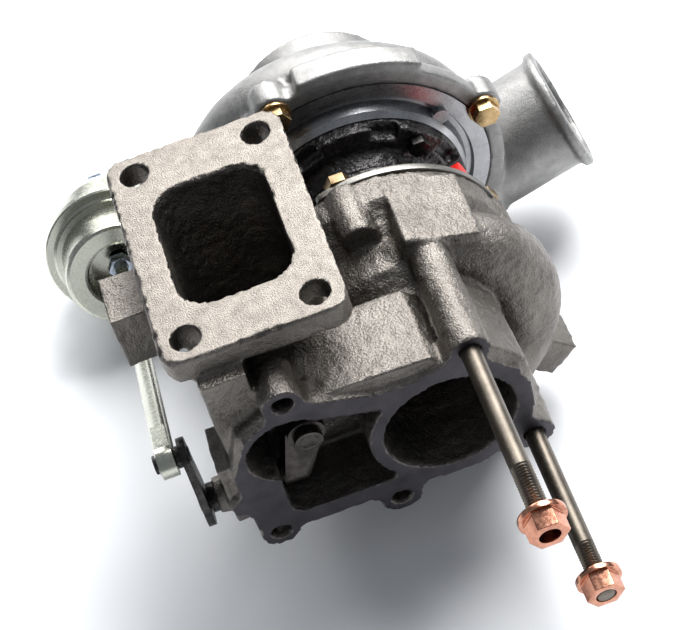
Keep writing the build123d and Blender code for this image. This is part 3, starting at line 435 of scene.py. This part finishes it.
THREAD_PITCH = 1.25 * MM
THREAD_DEPTH = 0.75 * MM
THREAD_LENGTH = 23 * MM
RING_STEP = THREAD_PITCH / 8
ROUND = 32
FIRST_RING, FADE_RINGS = 3, 8
SHANK_SHARE = 0.985
THREAD_SMOOTH_BELOW = radians(50)


def thread_radius(radius, along, turn):
    """Radius of a thread at a distance along it and a fraction of a turn."""
    phase = (along / THREAD_PITCH + turn) % 1.0
    return radius - THREAD_DEPTH * abs(2 * phase - 1) ** 0.8


def stud_rings(length, radius):
    """(distance from the free end, radius at each corner) along a stud with a thread at its free end."""
    rings = [(0.0, [radius - THREAD_DEPTH] * ROUND)]
    steps = int(THREAD_LENGTH / RING_STEP)
    for step in range(FIRST_RING, steps):
        along = step * RING_STEP
        fade = min(1.0, (steps - step) / FADE_RINGS)
        depths = [radius - thread_radius(radius, along, k / ROUND) for k in range(ROUND)]
        rings.append((along, [radius - fade * depth for depth in depths]))
    rings.append((THREAD_LENGTH, [radius * SHANK_SHARE] * ROUND))
    rings.append((length, [radius * SHANK_SHARE] * ROUND))
    return rings


def add_studs():
    """The two long studs, threaded at their free ends, where the copper nuts run."""
    verts, faces = [], []
    for low, high in islands("outlet_studs"):
        radius = (high[0] - low[0]) / 2
        middle = (low + high) / 2
        rings = stud_rings(high[1] - low[1], radius)
        first = len(verts)
        for along, radii in rings:
            for k in range(ROUND):
                angle = 2 * pi * k / ROUND
                x, z = middle[0] + radii[k] * cos(angle), middle[2] + radii[k] * sin(angle)
                verts.append((x, low[1] + along, z))
        for ring in range(len(rings) - 1):
            for k in range(ROUND):
                a, b = first + ring * ROUND + k, first + ring * ROUND + (k + 1) % ROUND
                faces.append((a, a + ROUND, b + ROUND, b))
        faces.append([first + k for k in range(ROUND)])
        last = first + (len(rings) - 1) * ROUND
        faces.append([last + k for k in reversed(range(ROUND))])
    mesh = bpy.data.meshes.new("outlet_studs_threaded")
    mesh.from_pydata(verts, [], faces)
    mesh.materials.append(FINISHES["stud_steel"])
    mesh.shade_smooth()
    mesh.set_sharp_from_angle(angle=THREAD_SMOOTH_BELOW)
    add_piece("outlet_studs_threaded", mesh, "outlet_studs")


def add_soft(node):
    """A soft part with its split corners joined, as a smooth piece with a mesh of its own that rides with
    its body.
    """
    work = joined(NODES[node].data)
    mesh = bpy.data.meshes.new(node + "_soft")
    work.to_mesh(mesh)
    work.free()
    mesh.materials.clear()
    mesh.materials.append(FINISHES[SLOT_OF[node]])
    mesh.shade_smooth()
    mesh.set_sharp_from_angle(angle=SMOOTH_BELOW)
    piece = add_piece(node + "_soft", mesh, node)
    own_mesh(piece)


# ---- Floor and light ------------------------------------------------------------------------------
FLOOR_HALF = 6.0
FLOOR_GAP = 0.0005
LIT_MIDDLE = Vector((-0.02, 0.07, 0.0))


def add_floor():
    """A wide pale floor under the lowest point of the object."""
    mesh = bpy.data.meshes.new("floor")
    height = CAD_BOX[0][2] - FLOOR_GAP
    corners = [(x * FLOOR_HALF, y * FLOOR_HALF, height) for x, y in ((-1, -1), (1, -1), (1, 1), (-1, 1))]
    mesh.from_pydata(corners, [], [(0, 1, 2, 3)])
    floor = bpy.data.objects.new("floor", mesh)
    material = bpy.data.materials.new("floor")
    material.use_nodes = True
    shader = material.node_tree.nodes["Principled BSDF"]
    shader.inputs["Base Color"].default_value = (0.93, 0.94, 0.96, 1)
    shader.inputs["Roughness"].default_value = 0.9
    shader.inputs["Specular IOR Level"].default_value = 0.1
    mesh.materials.append(material)
    bpy.context.scene.collection.objects.link(floor)


def add_softbox(name, place, size, power, colour=(1, 1, 1)):
    """A square area light at place that faces the object's middle."""
    light = bpy.data.lights.new(name, "AREA")
    light.size = size
    light.energy = power
    light.color = colour
    lamp = bpy.data.objects.new(name, light)
    lamp.location = Vector(place)
    lamp.rotation_euler = (LIT_MIDDLE - lamp.location).to_track_quat("-Z", "Y").to_euler()
    bpy.context.scene.collection.objects.link(lamp)


def add_studio():
    """A bright room with soft boxes overhead and behind."""
    world = bpy.data.worlds.new("room")
    bpy.context.scene.world = world
    world.use_nodes = True
    background = world.node_tree.nodes["Background"]
    background.inputs["Color"].default_value = (0.86, 0.92, 1.0, 1)
    background.inputs["Strength"].default_value = 0.27
    add_softbox("top", (0.50, 0.60, 1.0), 0.8, 32)
    add_softbox("back", (-0.1, 1.35, 0.75), 1.0, 17)
    bpy.context.scene.view_settings.view_transform = "Standard"


add_camera()
add_studio()
add_floor()
paint_cad_nodes()
add_turbine_housing()
add_compressor_housing()
add_centre_housing()
add_studs()
for name in BEVELLED:
    add_bevelled(name, EDGE_BEVEL)
add_soft("actuator_spring")
add_soft("diaphragm")
